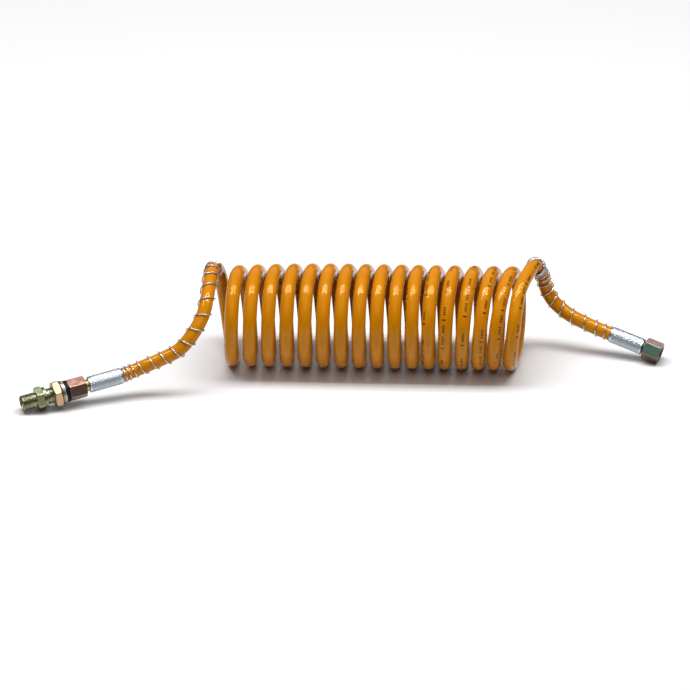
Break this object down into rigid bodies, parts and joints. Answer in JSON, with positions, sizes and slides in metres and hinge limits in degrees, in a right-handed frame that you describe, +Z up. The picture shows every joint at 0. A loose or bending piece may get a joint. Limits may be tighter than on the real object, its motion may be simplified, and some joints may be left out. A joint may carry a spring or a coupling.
{
  "type": "coiled hydraulic hose assembly",
  "caption": "Coiled plastic hose with spring-guarded straight ends, crimped ferrules, a swivel nut at one end and a bulkhead fitting with panel lock nut at the other.",
  "frame": {"origin": "middle of the assembly's outline on the floor that it lies on", "axes": "+X along the coil towards the plain swivel nut, +Z up, and -Y is the side that the bulkhead fitting lies on"},
  "size_m": [0.5556, 0.1557, 0.0944],
  "materials": {
    "hose": "glossy translucent amber polyamide",
    "zinc": "bright zinc plate, knurled",
    "spring_wire": "bright zinc plated wire",
    "rainbow_zinc": "yellow passivated zinc with pink and green iridescence",
    "pale_zinc": "pale yellow passivated zinc",
    "olive_zinc": "olive yellow passivated zinc",
    "seal_rubber": "black rubber"
  },
  "bodies": {
    "coil_and_left_end": {"hose_coil": "hose", "hose_tail_left": "hose", "left_spring_guard": "spring_wire", "left_ferrule": "zinc", "left_nipple": "pale_zinc", "left_nipple_o_ring": "seal_rubber"},
    "right_end": {"hose_tail_right": "hose", "right_spring_guard": "spring_wire", "right_ferrule": "zinc", "right_nipple": "pale_zinc", "right_nipple_o_ring": "seal_rubber"},
    "right_nut": {"right_swivel_nut": "rainbow_zinc"},
    "left_nut": {"left_swivel_nut": "rainbow_zinc"},
    "bulkhead": {"bulkhead_body": "olive_zinc"},
    "panel_seals": {"rubber_seal_ring": "seal_rubber", "lock_washer": "zinc", "flat_washer": "pale_zinc"},
    "lock_nut": {"panel_lock_nut": "pale_zinc"}
  },
  "joints": [
    {"name": "coil_stretch", "type": "slide", "parent": "coil_and_left_end", "child": "right_end", "axis": [1, 0, 0], "range_m": [0, 1], "stiffness_N_per_m": 15, "deforming": ["hose_coil"]},
    {"name": "right_nut_spin", "type": "hinge", "parent": "right_end", "child": "right_nut", "pos_m": [0.26731, 0.0412, 0.01021], "axis": [0.9261, -0.2743, -0.2588], "continuous": true},
    {"name": "left_nut_spin", "type": "hinge", "parent": "coil_and_left_end", "child": "left_nut", "pos_m": [-0.22857, -0.05518, 0.0158], "axis": [-0.9351, -0.322, -0.1478], "range_deg": [0, 1440]},
    {"name": "bulkhead_unscrew", "type": "slide", "parent": "coil_and_left_end", "child": "bulkhead", "axis": [-0.9351, -0.322, -0.1478], "range_m": [0, 0.006]},
    {"name": "lock_nut_travel", "type": "slide", "parent": "bulkhead", "child": "panel_seals", "axis": [-0.9351, -0.322, -0.1478], "range_m": [0, 0.0057]},
    {"name": "lock_nut_spin", "type": "hinge", "parent": "panel_seals", "child": "lock_nut", "pos_m": [-0.24569, -0.06107, 0.0131], "axis": [-0.9351, -0.322, -0.1478], "range_deg": [0, 1368]}
  ],
  "couplings": [
    {"joint": "left_nut_spin", "follows": "bulkhead_unscrew", "rad_per_m": 4188.8},
    {"joint": "lock_nut_spin", "follows": "lock_nut_travel", "rad_per_m": 4188.8}
  ]
}
